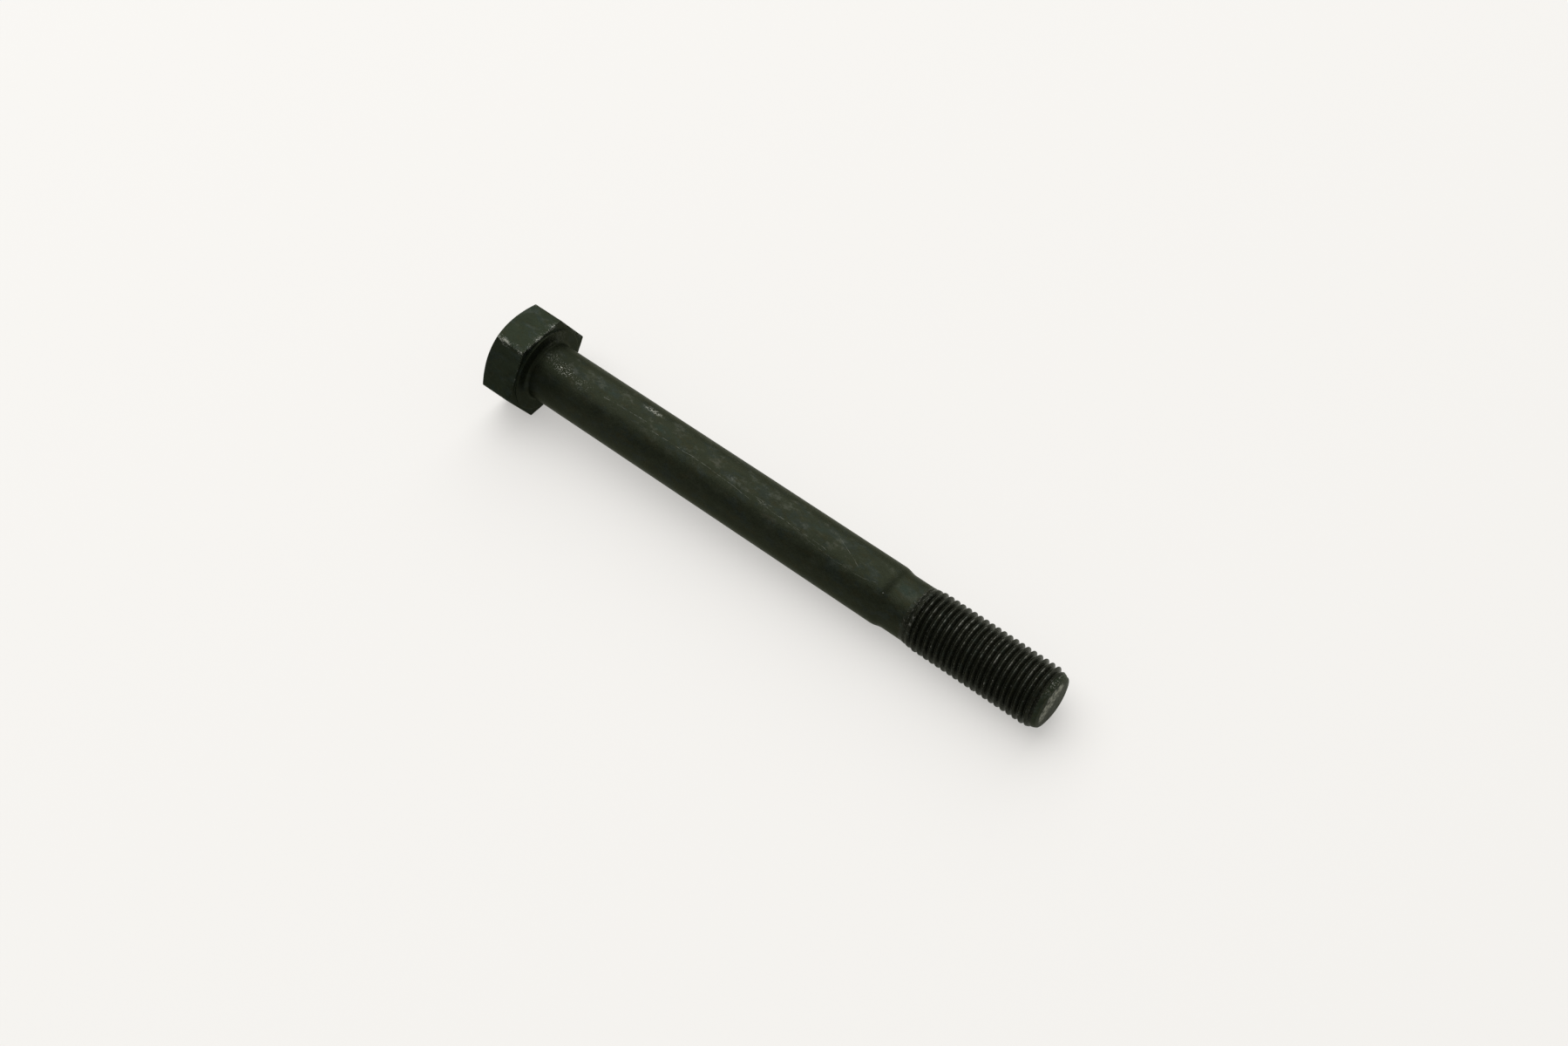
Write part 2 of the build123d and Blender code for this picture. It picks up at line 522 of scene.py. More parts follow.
# %% Close the steps and the ends
last_column = columns - 1
first_rows = range(winding_first, winding_first + rows_per_pitch + 1)
faces.append(
    [neck_ring * columns + last_column, neck_ring * columns]
    + [row * columns for row in first_rows]
    + [winding_first * columns + last_column]
)
turned.append([False, True] + [True] * len(first_rows) + [False])
last_rows = range(winding_last, winding_last - rows_per_pitch - 1, -1)
faces.append(
    [end_ring * columns, end_ring * columns + last_column]
    + [row * columns + last_column for row in last_rows]
    + [winding_last * columns]
)
turned.append([True, False] + [False] * len(last_rows) + [True])
for column in range(columns):
    faces.append([corner_point(0, column + 1), corner_point(0, column), head_centre])
    turned.append([column == last_column, False, False])
    faces.append([corner_point(end_ring + 1, column), corner_point(end_ring + 1, column + 1), end_centre])
    turned.append([False, column == last_column, False])
print(f"{sum(len(face) - 2 for face in faces)} triangles in all")

# %% Make the mesh
points = np.concatenate(
    [
        place(stations, radii, angles).reshape(-1, 3),
        [MM * -head_height * along, MM * length * along],
    ]
)
bolt_mesh = bpy.data.meshes.new("cylinder_head_bolt")
bolt_mesh.from_pydata(points.tolist(), [], faces)
bolt_mesh.update()
bolt_mesh.shade_smooth()
bolt = put_in_scene("cylinder_head_bolt", bolt_mesh)
bolt.modifiers.new("weighted normals", "WEIGHTED_NORMAL").keep_sharp = True
print(f"{bolt.name}: {len(bolt_mesh.vertices)} points, closed: {not bolt_mesh.validate()}")

# %% [markdown]
# ## What the finish needs to know
# Wear follows the shape: it sits on edges, crests and bruises. The script knows where those
# are, so it writes them into the mesh as attributes, which the materials read. A Geometry
# Nodes or Pointiness setup could guess them from the curvature, but less surely. Two maps lay
# the skin out flat: one in millimetres, for scratches at known places, and one that fills a
# square, for baking.

# %% Distance from the nearest edge
outline_length = np.zeros(ring_station.shape)
row_gaps = np.hypot(np.diff(ring_station, axis=0), np.diff(ring_radius, axis=0))
outline_length[1:] = np.cumsum(row_gaps, axis=0)
rim_wear = {top_rim: 0.8, chamfer_rim: 0.5, bearing_rim: 1.0, washer_rim: 0.0}
flat_wear = np.array([1.0, 0.5, 0.4, 0.8, 1.0, 0.9])  # of the six flats, from the top one on
corner_wear = np.array([0.6, 1.0, 0.4, 0.8, 1.0, 0.7])  # of the six long edges
flat_of_column = (np.floor((head_angles + 30) / 60) % 6).astype(int)
corner_of_column = (np.round((head_angles + 30) / 60) % 6).astype(int)
far_off = 9.0
edge_gap = np.full(stations.shape, far_off)
edge_wear = np.zeros(stations.shape)
for rim, wear in rim_wear.items():
    gap = abs(outline_length - outline_length[rim])
    nearer = gap < edge_gap[:ring_count]
    edge_gap[:ring_count][nearer] = gap[nearer]
    edge_wear[:ring_count][nearer] = (wear * np.broadcast_to(flat_wear[flat_of_column], gap.shape))[nearer]

for row in range(chamfer_rim, bearing_rim + 1):
    gap = corner_distance * to_corner(head_angles)
    nearer = gap < edge_gap[row]
    edge_gap[row][nearer] = gap[nearer]
    edge_wear[row][nearer] = corner_wear[corner_of_column][nearer]
print(f"{int((edge_gap < 1).sum())} points lie within 1 mm of an edge")

# %% Grooves, crests and bruises
def on_winding(grid):
    """A grid for the whole skin that is 0 away from the winding rows."""
    whole = np.zeros(stations.shape)
    whole[winding_first : winding_last + 1] = grid
    return whole


polish_depth, polish_fade = 0.06, 0.04
bruise = on_winding(winding_bruise)
bruise[:ring_count] = ring_bruise
values = {
    "edge_gap": edge_gap,
    "edge_wear": edge_wear,
    "groove": on_winding(blank_radius - winding_radius),
    "crest": on_winding(np.clip((winding_radius - crest_radius + polish_depth) / polish_fade, 0, 1)),
    "bruise": bruise,
}
for name, grid in values.items():
    attribute = bolt_mesh.attributes.new(name, "FLOAT", "POINT")
    attribute.data.foreach_set("value", np.append(grid.ravel(), [grid[0, 0], grid[-1, 0]]))
    print(f"{name}: {grid.min():.2f} to {grid.max():.2f}")

# %% Two maps of the unrolled skin
face_points = np.concatenate(faces)
full_turns = np.concatenate(turned)
angle_of = np.append(angles.ravel(), [0, 0])
corner_angle = np.where(full_turns, 360, angle_of[face_points])

arc_per_degree = 2 * pi * shank_radius / 360
station_of = np.append(stations.ravel(), [-head_height, length])
unrolled = np.stack([station_of[face_points], corner_angle * arc_per_degree], axis=1)

# For baking, the way along the skin goes across the square and the way round goes up it
ring_way = np.repeat(outline_length.mean(axis=1), columns).reshape(-1, columns)
winding_way = ring_way.max() + travel - (neck_start + plain_neck)
inner_way = winding_way.max() + np.repeat([1.0, 2.0], columns).reshape(2, columns)
way = np.concatenate([ring_way, winding_way, inner_way])
way_of = np.append(way.ravel(), [-1.0, way.max() + 1.0]) + 1.0
square = np.stack([way_of[face_points] / way_of.max(), corner_angle / 360], axis=1)

for name, places in (("unrolled", unrolled), ("OFBake", square)):
    layer = bolt_mesh.uv_layers.new(name=name)
    layer.data.foreach_set("uv", places.ravel())
bolt_mesh.uv_layers["unrolled"].active_render = True
bolt_mesh.uv_layers.active = bolt_mesh.uv_layers["unrolled"]
print("maps:", [layer.name for layer in bolt_mesh.uv_layers])

# %% [markdown]
# ## Helpers for shader nodes
# The finish is made of shader nodes. In the editor each node is dropped and wired by hand. In
# a script a few small helpers keep that readable: they add a node with its inputs, do sums,
# fade a value smoothly from 0 to 1, and blend two colours.

# %% Add and wire nodes
def add_node(tree, kind, inputs=None, **options):
    """Add a shader node. Inputs are values, or other nodes' outputs to link."""
    made = tree.nodes.new("ShaderNode" + kind)
    for name, value in options.items():
        setattr(made, name, value)
    for name, value in (inputs or {}).items():
        if isinstance(value, bpy.types.NodeSocket):
            tree.links.new(value, made.inputs[name])
        else:
            made.inputs[name].default_value = value
    return made


print("one helper adds and wires a node")

# %% Sums, fades and blends of nodes
def sum_of(tree, operation, *values):
    """The result of one Math node."""
    return add_node(tree, "Math", dict(enumerate(values)), operation=operation).outputs[0]


def product(tree, first, *others):
    """Several values multiplied."""
    for other in others:
        first = sum_of(tree, "MULTIPLY", first, other)
    return first


def vector_sum(tree, operation, first, second):
    """One Vector Math node: its value for a dot product or a length, and else its vector."""
    made = add_node(tree, "VectorMath", {0: first, 1: second}, operation=operation)
    return made.outputs["Value" if operation in ("DOT_PRODUCT", "DISTANCE") else "Vector"]


def scaled(tree, vector, factor):
    """A vector or a colour times a number."""
    return add_node(tree, "VectorMath", {0: vector, "Scale": factor}, operation="SCALE").outputs[0]


def fade(tree, value, start, end):
    """0 before start, 1 past end, and smooth between. Start may be larger than end."""
    inputs = {"Value": value, "From Min": start, "From Max": end}
    return add_node(tree, "MapRange", inputs, interpolation_type="SMOOTHSTEP").outputs[0]


def blend(tree, share, first, second):
    """A colour between two colours."""
    made = add_node(tree, "Mix", {0: share, 6: first, 7: second}, data_type="RGBA")
    return made.outputs[2]


print("six more do sums, fades and blends")

# %% Places and values on the bolt
def noise(tree, where, per_mm, detail=2.0, roughness=0.5):
    """A noise value around 0.5. per_mm sets how many waves there are to a millimetre."""
    inputs = {"Vector": where, "Scale": per_mm, "Detail": detail, "Roughness": roughness}
    return add_node(tree, "TexNoise", inputs).outputs["Fac"]


def mm_place(tree, stretch=1.0):
    """Where a point is on the bolt, in mm. A stretch draws patterns out along the shank."""
    here = add_node(tree, "TexCoord").outputs["Object"]
    return vector_sum(tree, "MULTIPLY", here, (1 / MM / stretch, 1 / MM, 1 / MM))


def patches(tree, per_mm, start, end, detail=4.0, roughness=0.75, stretch=1.0):
    """A mask of patches: noise that fades in between two of its values."""
    return fade(tree, noise(tree, mm_place(tree, stretch), per_mm, detail, roughness), start, end)


def station_here(tree):
    """The station of a point, near enough for soft changes along the bolt."""
    return add_node(tree, "SeparateXYZ", {0: mm_place(tree)}).outputs[0]


def mesh_value(tree, name):
    """A value that the mesh keeps at its points."""
    return add_node(tree, "Attribute", attribute_name=name).outputs["Fac"]


print("places are in mm, with the station along X")

# %% Node groups
def new_group(name, inputs, outputs):
    """A node group with named sockets. Inputs give (kind, default), and outputs a kind."""
    group = bpy.data.node_groups.new(name, "ShaderNodeTree")
    for label, (kind, default) in inputs.items():
        socket = group.interface.new_socket(label, in_out="INPUT", socket_type="NodeSocket" + kind)
        socket.default_value = default
    for label, kind in outputs.items():
        group.interface.new_socket(label, in_out="OUTPUT", socket_type="NodeSocket" + kind)
    entry, leave = group.nodes.new("NodeGroupInput"), group.nodes.new("NodeGroupOutput")
    return group, entry.outputs, leave.inputs


def use_group(tree, group, **inputs):
    """Place a node group in a tree, and return its outputs."""
    made = tree.nodes.new("ShaderNodeGroup")
    made.node_tree = group
    for label, value in inputs.items():
        socket = made.inputs[label.replace("_", " ").title()]
        if isinstance(value, bpy.types.NodeSocket):
            tree.links.new(value, socket)
        else:
            socket.default_value = value
    return made.outputs


print("node groups have named sockets")

# %% [markdown]
# ## Blackened steel, mottled by oil
# Black oxide is a thin skin that keeps the steel's own surface. Oil and heat tint it: olive
# over most of it, teal where the film is thin, brown where it has dried. A painted texture
# would show that at one place, while noise of several sizes gives it to the whole bolt. The
# patches are drawn out along the shank, the way the steel was drawn.

# %% The mottled colour group
mottle, given, result = new_group(
    "oiled_oxide",
    {
        "Ground": ("Color", (0.0180, 0.0212, 0.0125, 1)),
        "Teal": ("Color", (0.0172, 0.0222, 0.0172, 1)),
        "Brown": ("Color", (0.0200, 0.0204, 0.0105, 1)),
        "Patch Length": ("Float", 7.0),
        "Contrast": ("Float", 0.9),
    },
    {"Color": "Color", "Grain": "Float", "Cloud": "Float"},
)
stretched = mm_place(mottle, stretch=1.9)
teal_noise = noise(mottle, stretched, sum_of(mottle, "DIVIDE", 3.0, given["Patch Length"]), 5.0, 0.65)
brown_noise = noise(mottle, stretched, sum_of(mottle, "DIVIDE", 4.4, given["Patch Length"]), 5.0, 0.65)
cloud = noise(mottle, mm_place(mottle, stretch=1.8), 0.5, 5.0, 0.7)
grain = noise(mottle, mm_place(mottle, stretch=1.3), 2.2, 4.0, 0.7)
teal_share = product(mottle, fade(mottle, teal_noise, 0.5, 0.6), 0.7)
brown_share = product(mottle, fade(mottle, brown_noise, 0.53, 0.63), 0.6)
tinted = blend(mottle, teal_share, given["Ground"], given["Teal"])
tinted = blend(mottle, brown_share, tinted, given["Brown"])
both = sum_of(mottle, "SUBTRACT", sum_of(mottle, "ADD", grain, cloud), 1.0)
bright = sum_of(mottle, "MULTIPLY_ADD", both, given["Contrast"], 1.0)
mottle.links.new(scaled(mottle, tinted, bright), result["Color"])
mottle.links.new(grain, result["Grain"])
mottle.links.new(cloud, result["Cloud"])
print(f"{mottle.name}: {len(mottle.nodes)} nodes")

# %% [markdown]
# ## Worn edges
# Where a socket or a washer rubs, the oxide goes and bright steel shows, in a ragged line that
# breaks up into specks. The mesh says how far each point is from an edge and how hard that
# edge is worn. Noise then decides how far in the bare steel reaches.

# %% The worn edge group
worn, given, result = new_group(
    "worn_edge",
    {"Reach": ("Float", 1.6), "Cover": ("Float", 0.5)},
    {"Mask": "Float"},
)
gap = mesh_value(worn, "edge_gap")
hardness = mesh_value(worn, "edge_wear")
reach = sum_of(worn, "MULTIPLY_ADD", given["Reach"], hardness, 0.01)
nearness = sum_of(worn, "SUBTRACT", 1.0, sum_of(worn, "DIVIDE", gap, reach))
nearness = add_node(worn, "Clamp", {"Value": nearness}).outputs[0]
coarse = noise(worn, mm_place(worn), 0.45, 3.0)
fine = noise(worn, mm_place(worn), 3.4, 4.0, 0.8)
chance_here = sum_of(worn, "MULTIPLY_ADD", coarse, 0.55, fine)
pull = product(worn, nearness, product(worn, given["Cover"], hardness))
speckled = fade(worn, sum_of(worn, "ADD", chance_here, pull), 0.95, 1.08)
worn.links.new(product(worn, speckled, fade(worn, nearness, 0.0, 0.3)), result["Mask"])
print(f"{worn.name}: {len(worn.nodes)} nodes")

# %% [markdown]
# ## Scratches and rubbed spots
# Long scratches run along the shank from pushing it through its hole. A scratch is a line
# between two places on the unrolled skin, so its mask comes from the distance to that line.
# The way round wraps, since the map ends where it began. A rubbed spot is an ellipse found in
# the same way.

# %% Places on the unrolled skin
girth = 2 * pi * shank_radius


def skin(station, angle):
    """A place on the unrolled map, from its station in mm and its angle in degrees."""
    return (station, angle * arc_per_degree, 0.0)


def offset_on_skin(tree, where, origin):
    """The way from an origin to a place on the unrolled map, the short way round the bolt."""
    parts = add_node(tree, "SeparateXYZ", {0: vector_sum(tree, "SUBTRACT", where, origin)}).outputs
    around = sum_of(tree, "WRAP", parts[1], girth / 2, -girth / 2)
    return add_node(tree, "CombineXYZ", {0: parts[0], 1: around}).outputs[0]


print(f"the skin is {girth:.1f} mm round")

# %% The scratch group
scratch, given, result = new_group(
    "scratch",
    {
        "Where": ("Vector", (0, 0, 0)),
        "Start": ("Vector", (0, 0, 0)),
        "End": ("Vector", (1, 0, 0)),
        "Width": ("Float", 0.2),
    },
    {"Mask": "Float"},
)
from_start = offset_on_skin(scratch, given["Where"], given["Start"])
run = vector_sum(scratch, "SUBTRACT", given["End"], given["Start"])
share = sum_of(
    scratch,
    "DIVIDE",
    vector_sum(scratch, "DOT_PRODUCT", from_start, run),
    vector_sum(scratch, "DOT_PRODUCT", run, run),
)
share = add_node(scratch, "Clamp", {"Value": share}).outputs[0]
off_line = vector_sum(scratch, "DISTANCE", from_start, scaled(scratch, run, share))
outer_edge = product(scratch, given["Width"], 0.5)
inner_edge = product(scratch, given["Width"], 0.1)
scratch.links.new(fade(scratch, off_line, outer_edge, inner_edge), result["Mask"])
print(f"{scratch.name}: {len(scratch.nodes)} nodes")

# %% The rubbed spot group
spot, given, result = new_group(
    "rubbed_spot",
    {
        "Where": ("Vector", (0, 0, 0)),
        "Middle": ("Vector", (0, 0, 0)),
        "Reach": ("Vector", (1, 1, 1)),
    },
    {"Mask": "Float"},
)
from_middle = offset_on_skin(spot, given["Where"], given["Middle"])
shares = vector_sum(spot, "DIVIDE", from_middle, given["Reach"])
spot.links.new(fade(spot, vector_sum(spot, "DISTANCE", shares, (0, 0, 0)), 1.0, 0.2), result["Mask"])
print(f"{spot.name}: {len(spot.nodes)} nodes")

# %% [markdown]
# ## Specks
# Dust, oil crumbs and tiny chips are dots of many sizes. A Voronoi texture has one point to a
# cell, and its random colour gives each dot its own size or leaves it out.

# %% The speck group
specks, given, result = new_group(
    "specks",
    {"Spacing": ("Float", 1.0), "Size": ("Float", 0.2), "Share": ("Float", 0.5)},
    {"Mask": "Float"},
)
per_mm = sum_of(specks, "DIVIDE", 1.0, given["Spacing"])
cells = add_node(specks, "TexVoronoi", {"Vector": mm_place(specks), "Scale": per_mm})
luck = add_node(specks, "SeparateColor", {0: cells.outputs["Color"]}).outputs
radius = sum_of(specks, "DIVIDE", given["Size"], given["Spacing"])
radius = product(specks, radius, sum_of(specks, "MULTIPLY_ADD", luck[0], 0.8, 0.2))
dot = fade(specks, cells.outputs["Distance"], radius, product(specks, radius, 0.4))
kept = sum_of(specks, "LESS_THAN", luck[1], given["Share"])
specks.links.new(product(specks, dot, kept), result["Mask"])
print(f"{specks.name}: {len(specks.nodes)} nodes")

# %% [markdown]
# ## Helpers for the three finishes
# One bolt has three finishes: the oiled oxide of head and shank, the rolled thread, and the
# rubbed end. They share the groups above, each with its own values. Bare steel shows only
# inside the wear masks, so it is blended in by mask. The oxide is so thin that steel shines
# through it, so all of the skin is partly metallic, which gives its reflections its own olive.
# A dark tint on top keeps glancing edges from lighting up.

# %% Colours and places for the finishes
bare_steel = (0.32, 0.32, 0.28, 1)
dust_grey = (0.30, 0.31, 0.28, 1)
oil_tint = (0.52, 0.55, 0.43, 1)


def new_finish(name):
    """A material with its node tree and its shader."""
    material = bpy.data.materials.new(name)
    material.use_nodes = True
    tree = material.node_tree
    return material, tree, tree.nodes["Principled BSDF"]


def skin_place(tree, waver=0.5):
    """Where a point is on the unrolled map, in mm, with a slight waver."""
    flat = add_node(tree, "UVMap", uv_map="unrolled").outputs[0]
    inputs = {"Vector": mm_place(tree), "Scale": 0.35, "Detail": 2.0}
    random = add_node(tree, "TexNoise", inputs).outputs["Color"]
    centred = vector_sum(tree, "SUBTRACT", random, (0.5, 0.5, 0.5))
    return vector_sum(tree, "ADD", flat, scaled(tree, centred, waver))


print("bare steel, dust and oil have one colour each for the whole bolt")

# %% Masks of many scratches and spots
def strongest(tree, masks):
    """The largest of several masks at each point."""
    most = masks[0]
    for mask in masks[1:]:
        most = sum_of(tree, "MAXIMUM", most, mask)
    return most


def scratches(tree, where, paths):
    """The mask of several scratches. Each has a strength, a width and (station, angle) points."""
    masks = []
    for strength, width, path in paths:
        for start, end in zip(path, path[1:]):
            mask = use_group(tree, scratch, where=where, start=skin(*start), end=skin(*end), width=width)
            masks.append(product(tree, mask["Mask"], strength))
    return strongest(tree, masks)


def spots(tree, where, places):
    """The mask of several rubbed spots. Each has a strength, a middle and a reach in mm."""
    masks = []
    for strength, middle, reach in places:
        mask = use_group(tree, spot, where=where, middle=skin(*middle), reach=(*reach, 1.0))
        masks.append(product(tree, mask["Mask"], strength))
    return strongest(tree, masks)


print("a scratch follows its points, and a spot is an ellipse")

# %% Wire a finish into its shader
def dress(tree, shader, film, colour, bare, metallic, roughness, level, relief, depth):
    """Wire a finish.

    metallic is of the film and of bare steel, and roughness of the film where it is smoothest
    and where it is roughest, and of bare steel. relief is a height of 0 to 1, depth deep in mm.
    """
    uneven = product(tree, sum_of(tree, "ADD", film["Grain"], film["Cloud"]), 0.5)
    limits = {"From Min": 0.38, "From Max": 0.62, "To Min": roughness[0], "To Max": roughness[1]}
    uneven = add_node(tree, "MapRange", {"Value": uneven, **limits}).outputs[0]
    wired = {
        "Base Color": colour,
        "Metallic": sum_of(tree, "MULTIPLY_ADD", bare, metallic[1] - metallic[0], metallic[0]),
        "Roughness": add_node(tree, "Mix", {0: bare, 2: uneven, 3: roughness[2]}).outputs[0],
        "Normal": add_node(tree, "Bump", {"Height": relief, "Distance": depth * MM}).outputs[0],
    }
    for label, output in wired.items():
        tree.links.new(output, shader.inputs[label])
    shader.inputs["Specular IOR Level"].default_value = level
    shader.inputs["Specular Tint"].default_value = oil_tint


print("finish helpers are ready")

# %% [markdown]
# ## Oiled black oxide
# Head and shank are dark, dull and slightly green. Their gloss is weak, because the oxide is
# porous and drinks the oil, so the specular level is low and the roughness even. One long
# broken scratch and a few shorter ones run along the upper side, and chips lie near the head,
# where the shank's colour is also darker. On two sides the film is rubbed thin in small pale
# patches, and a little dust has settled all over.

# %% Where the shank is scratched and rubbed
shank_scratches = [
    (0.4, 0.11, [(19.3, 15), (29.5, 10), (31.3, 10)]),
    (0.3, 0.1, [(33.7, 19), (38.4, 18), (45.8, 17), (54.0, 19), (62.2, 24)]),
    (0.3, 0.1, [(63.1, 17), (67.8, 21), (74.9, 22), (82.6, 24)]),
    (0.2, 0.1, [(69.8, 20), (78.9, 29), (84.8, 31), (91.8, 31), (95.8, 24)]),
    (0.2, 0.1, [(59.8, 15), (66.9, 14)]),
    (0.25, 0.1, [(83.3, -8), (91.3, 21)]),
]
scuffs = [
    (0.7, (30.3, -19), (3.6, 1.0)),
    (0.12, (55.6, 10), (1.8, 1.0)),
    (0.12, (64.8, 18), (1.4, 0.9)),
    (0.1, (0.0, -28), (0.5, 4.0)),
]
speckled_spots = [
    (0.4, (3.5, 6), (3.0, 2.2)),
    (0.8, (7.5, 13), (4.6, 2.0)),
    (0.3, (13.0, 18), (4.0, 1.8)),
]
rubbed_sides = [(1.0, (50, -12), (90.0, 8.0)), (0.8, (50, 168), (90.0, 8.0))]
teal_spots = [
    (0.8, (19.3, -2), (3.0, 1.4)),
    (0.8, (35.3, 5), (3.2, 1.4)),
    (0.7, (78.2, -2), (3.0, 1.3)),
    (0.9, (102.0, 3), (3.4, 2.2)),
]
print(f"{sum(len(path) - 1 for *_, path in shank_scratches)} scratch lines")

# %% Wear on the oxide
edge_share, bruise_share = 0.5, 0.3  # how bare the most worn places are
thin_everywhere, thin_on_sides = 0.015, 0.055

oxide, tree, shader = new_finish("oiled_black_oxide")
where = skin_place(tree)
film = use_group(tree, mottle)
broken = patches(tree, 1.5, 0.4, 0.6, roughness=0.7, stretch=2.0)
scratched = product(tree, scratches(tree, where, shank_scratches), broken)
edges = product(tree, use_group(tree, worn, reach=1.5, cover=0.2)["Mask"], edge_share)
chipped = product(tree, spots(tree, where, speckled_spots), patches(tree, 2.8, 0.56, 0.64))
rubbed = product(tree, spots(tree, where, scuffs), fade(tree, film["Grain"], 0.45, 0.6))
bruised = product(tree, fade(tree, mesh_value(tree, "bruise"), 0.05, 0.16), bruise_share)
on_sides = spots(tree, where, rubbed_sides)
thinned = sum_of(tree, "MULTIPLY_ADD", on_sides, thin_on_sides, thin_everywhere)
thin_film = product(tree, patches(tree, 0.42, 0.5, 0.68, detail=5.0, stretch=1.5), thinned)
bare = strongest(tree, [scratched, edges, rubbed, chipped, bruised, thin_film])
print(f"{len(tree.nodes)} nodes for the wear")

# %% Colour and gloss of the oxide
teal_film = (0.0175, 0.025, 0.0185, 1)
head_green = (0.9, 1, 1, 1)
# a darker colour for the shank near the head, and how much of it is mixed in
darker_near_head, darkening_share = (0.006, 0.008, 0.004, 1), 0.5
scratch_depth = 0.6

station = station_here(tree)
teal_here = product(tree, spots(tree, where, teal_spots), fade(tree, film["Cloud"], 0.36, 0.56))
colour = blend(tree, teal_here, film["Color"], teal_film)
green_tint = blend(tree, fade(tree, station, 0.6, -0.4), (1, 1, 1, 1), head_green)
colour = vector_sum(tree, "MULTIPLY", colour, green_tint)
# the shank's colour is darker near the head, most of all within 5 mm of it, fading out by 15 mm
near_head = product(tree, fade(tree, station, 15.0, 5.0), fade(tree, station, -0.2, 1.0))
colour = blend(tree, product(tree, near_head, darkening_share), colour, darker_near_head)
colour = blend(tree, bare, colour, bare_steel)
dust = use_group(tree, specks, spacing=4.5, size=0.17, share=0.7)["Mask"]
colour = blend(tree, dust, colour, dust_grey)
relief = sum_of(tree, "SUBTRACT", film["Grain"], product(tree, scratched, scratch_depth))
values = {"metallic": (0.5, 0.7), "roughness": (0.34, 0.46, 0.4), "level": 0.06, "depth": 0.035}
dress(tree, shader, film, colour, bare, relief=relief, **values)
print(f"{oxide.name}: {len(tree.nodes)} nodes")

# %% [markdown]
# ## The rolled thread
# Rolling burnishes the steel, so the thread is nearly black and much glossier than the shank.
# Its grooves are darker still the deeper they are, which is painted shade. Its crests catch the
# light in thin lines. They are polished in patches on two sides, partly real polish and partly
# painted glint, since one of the sides is the top, where the light's glints fall, and they are
# broken where they are dinged down to bare steel. The run-out is packed with dirt, and fine
# bright lines mark the edges of its shallow grooves. Where this finish begins it has the
# neck's colour, so the change of material doesn't show.

# %% Wear on the thread
first_groove = neck_start + plain_neck + 1.6
thread_middle = (thread_start + length) / 2
run_out_middle = runout_start + 1.6
# Polished crests lie on the top, where the light's glints fall, and on the side across from it: partly
# real polish, partly painted glint.
glint_and_polish_sides = [(1.0, (thread_middle, 2), (26.0, 6.0)), (0.7, (thread_middle, 200), (26.0, 6.0))]
dirty_sides = [(1.0, (run_out_middle, 10), (3.4, 9.0)), (0.8, (run_out_middle, 190), (3.4, 9.0))]
polish_everywhere, polish_in_patches = 0.02, 0.3
ding_share, fleck_share, line_share = 0.45, 0.2, 0.35

thread, tree, shader = new_finish("rolled_thread")
film = use_group(tree, mottle, ground=(0.0135, 0.0145, 0.0095, 1), patch_length=4.0)
dinged = product(tree, fade(tree, mesh_value(tree, "bruise"), 0.03, 0.09), ding_share)
patchy = patches(tree, 0.7, 0.47, 0.64, roughness=0.7)
polish = sum_of(tree, "MULTIPLY_ADD", patchy, polish_in_patches, polish_everywhere)
# partly painted glint: bare steel on the crests of the top side and of the side across from it
glint_and_polish = spots(tree, skin_place(tree), glint_and_polish_sides)
glint_and_polish = product(tree, mesh_value(tree, "crest"), polish, glint_and_polish)
flecks = product(tree, patches(tree, 2.6, 0.58, 0.68, detail=3.0), fleck_share)
begun = fade(tree, station_here(tree), first_groove + 0.1, first_groove + 1.3)
run_out = product(tree, spots(tree, skin_place(tree), dirty_sides), begun)
groove = mesh_value(tree, "groove")
groove_edge = product(tree, fade(tree, groove, 0.0, 0.03), fade(tree, groove, 0.12, 0.05))
edge_lines = product(tree, groove_edge, run_out, line_share, patchy)
bare = strongest(tree, [dinged, glint_and_polish, flecks, edge_lines])
print(f"{len(tree.nodes)} nodes for the wear")

# %% Colour and gloss of the thread
# painted shade: the colour of the deepest grooves
groove_shade = (0.0115, 0.0125, 0.008, 1)
run_out_dirt, dirt_share = (0.006, 0.0065, 0.004, 1), 0.6
neck_brightness = 1.45
run_out_calm = 0.7  # dirt fills the grain of the run-out

colour = blend(tree, begun, scaled(tree, film["Color"], neck_brightness), film["Color"])
# painted shade: the grooves are darker the deeper they are
colour = blend(tree, fade(tree, groove, 0.1, 1.1), colour, groove_shade)
colour = blend(tree, product(tree, run_out, dirt_share), colour, run_out_dirt)
colour = blend(tree, bare, colour, bare_steel)
relief = product(tree, film["Grain"], sum_of(tree, "MULTIPLY_ADD", run_out, -run_out_calm, 1.0))
values = {"metallic": (0.35, 0.75), "roughness": (0.26, 0.38, 0.3), "level": 0.08, "depth": 0.06}
dress(tree, shader, film, colour, bare, relief=relief, **values)
print(f"{thread.name}: {len(tree.nodes)} nodes")

# %% [markdown]
# ## The rubbed end
# The end face drags over benches and the bottom of its hole. On one side it is rubbed to a
# bright, pitted band, and the rest keeps a thin green film. The same finish covers the last
# millimetre of the cone, which is paler, with chips where it knocks against things.

# %% Places on the end face
band_angle = radians(36)
band_side = np.cos(band_angle) * upward + np.sin(band_angle) * side
rim_middle = length - 1.9
chipped_sides = [(0.8, (rim_middle, -12), (3.0, 6.5)), (0.5, (rim_middle, 170), (3.0, 6.5))]

rubbed_end, tree, shader = new_finish("rubbed_end")
end_middle = place(length, 0.0, 0.0)
here = add_node(tree, "TexCoord").outputs["Object"]
from_middle = vector_sum(tree, "SUBTRACT", here, tuple(end_middle))
height = product(tree, vector_sum(tree, "DOT_PRODUCT", from_middle, tuple(band_side)), 1 / MM)
from_axis = product(tree, vector_sum(tree, "DISTANCE", from_middle, (0, 0, 0)), 1 / MM)
print(f"the cone's rim is {rim_radius:.2f} mm from the axis")

# %% The end material
band_ragged, band_streaks, band_least = 4.0, 0.8, 0.12
cone_brightness = 1.8

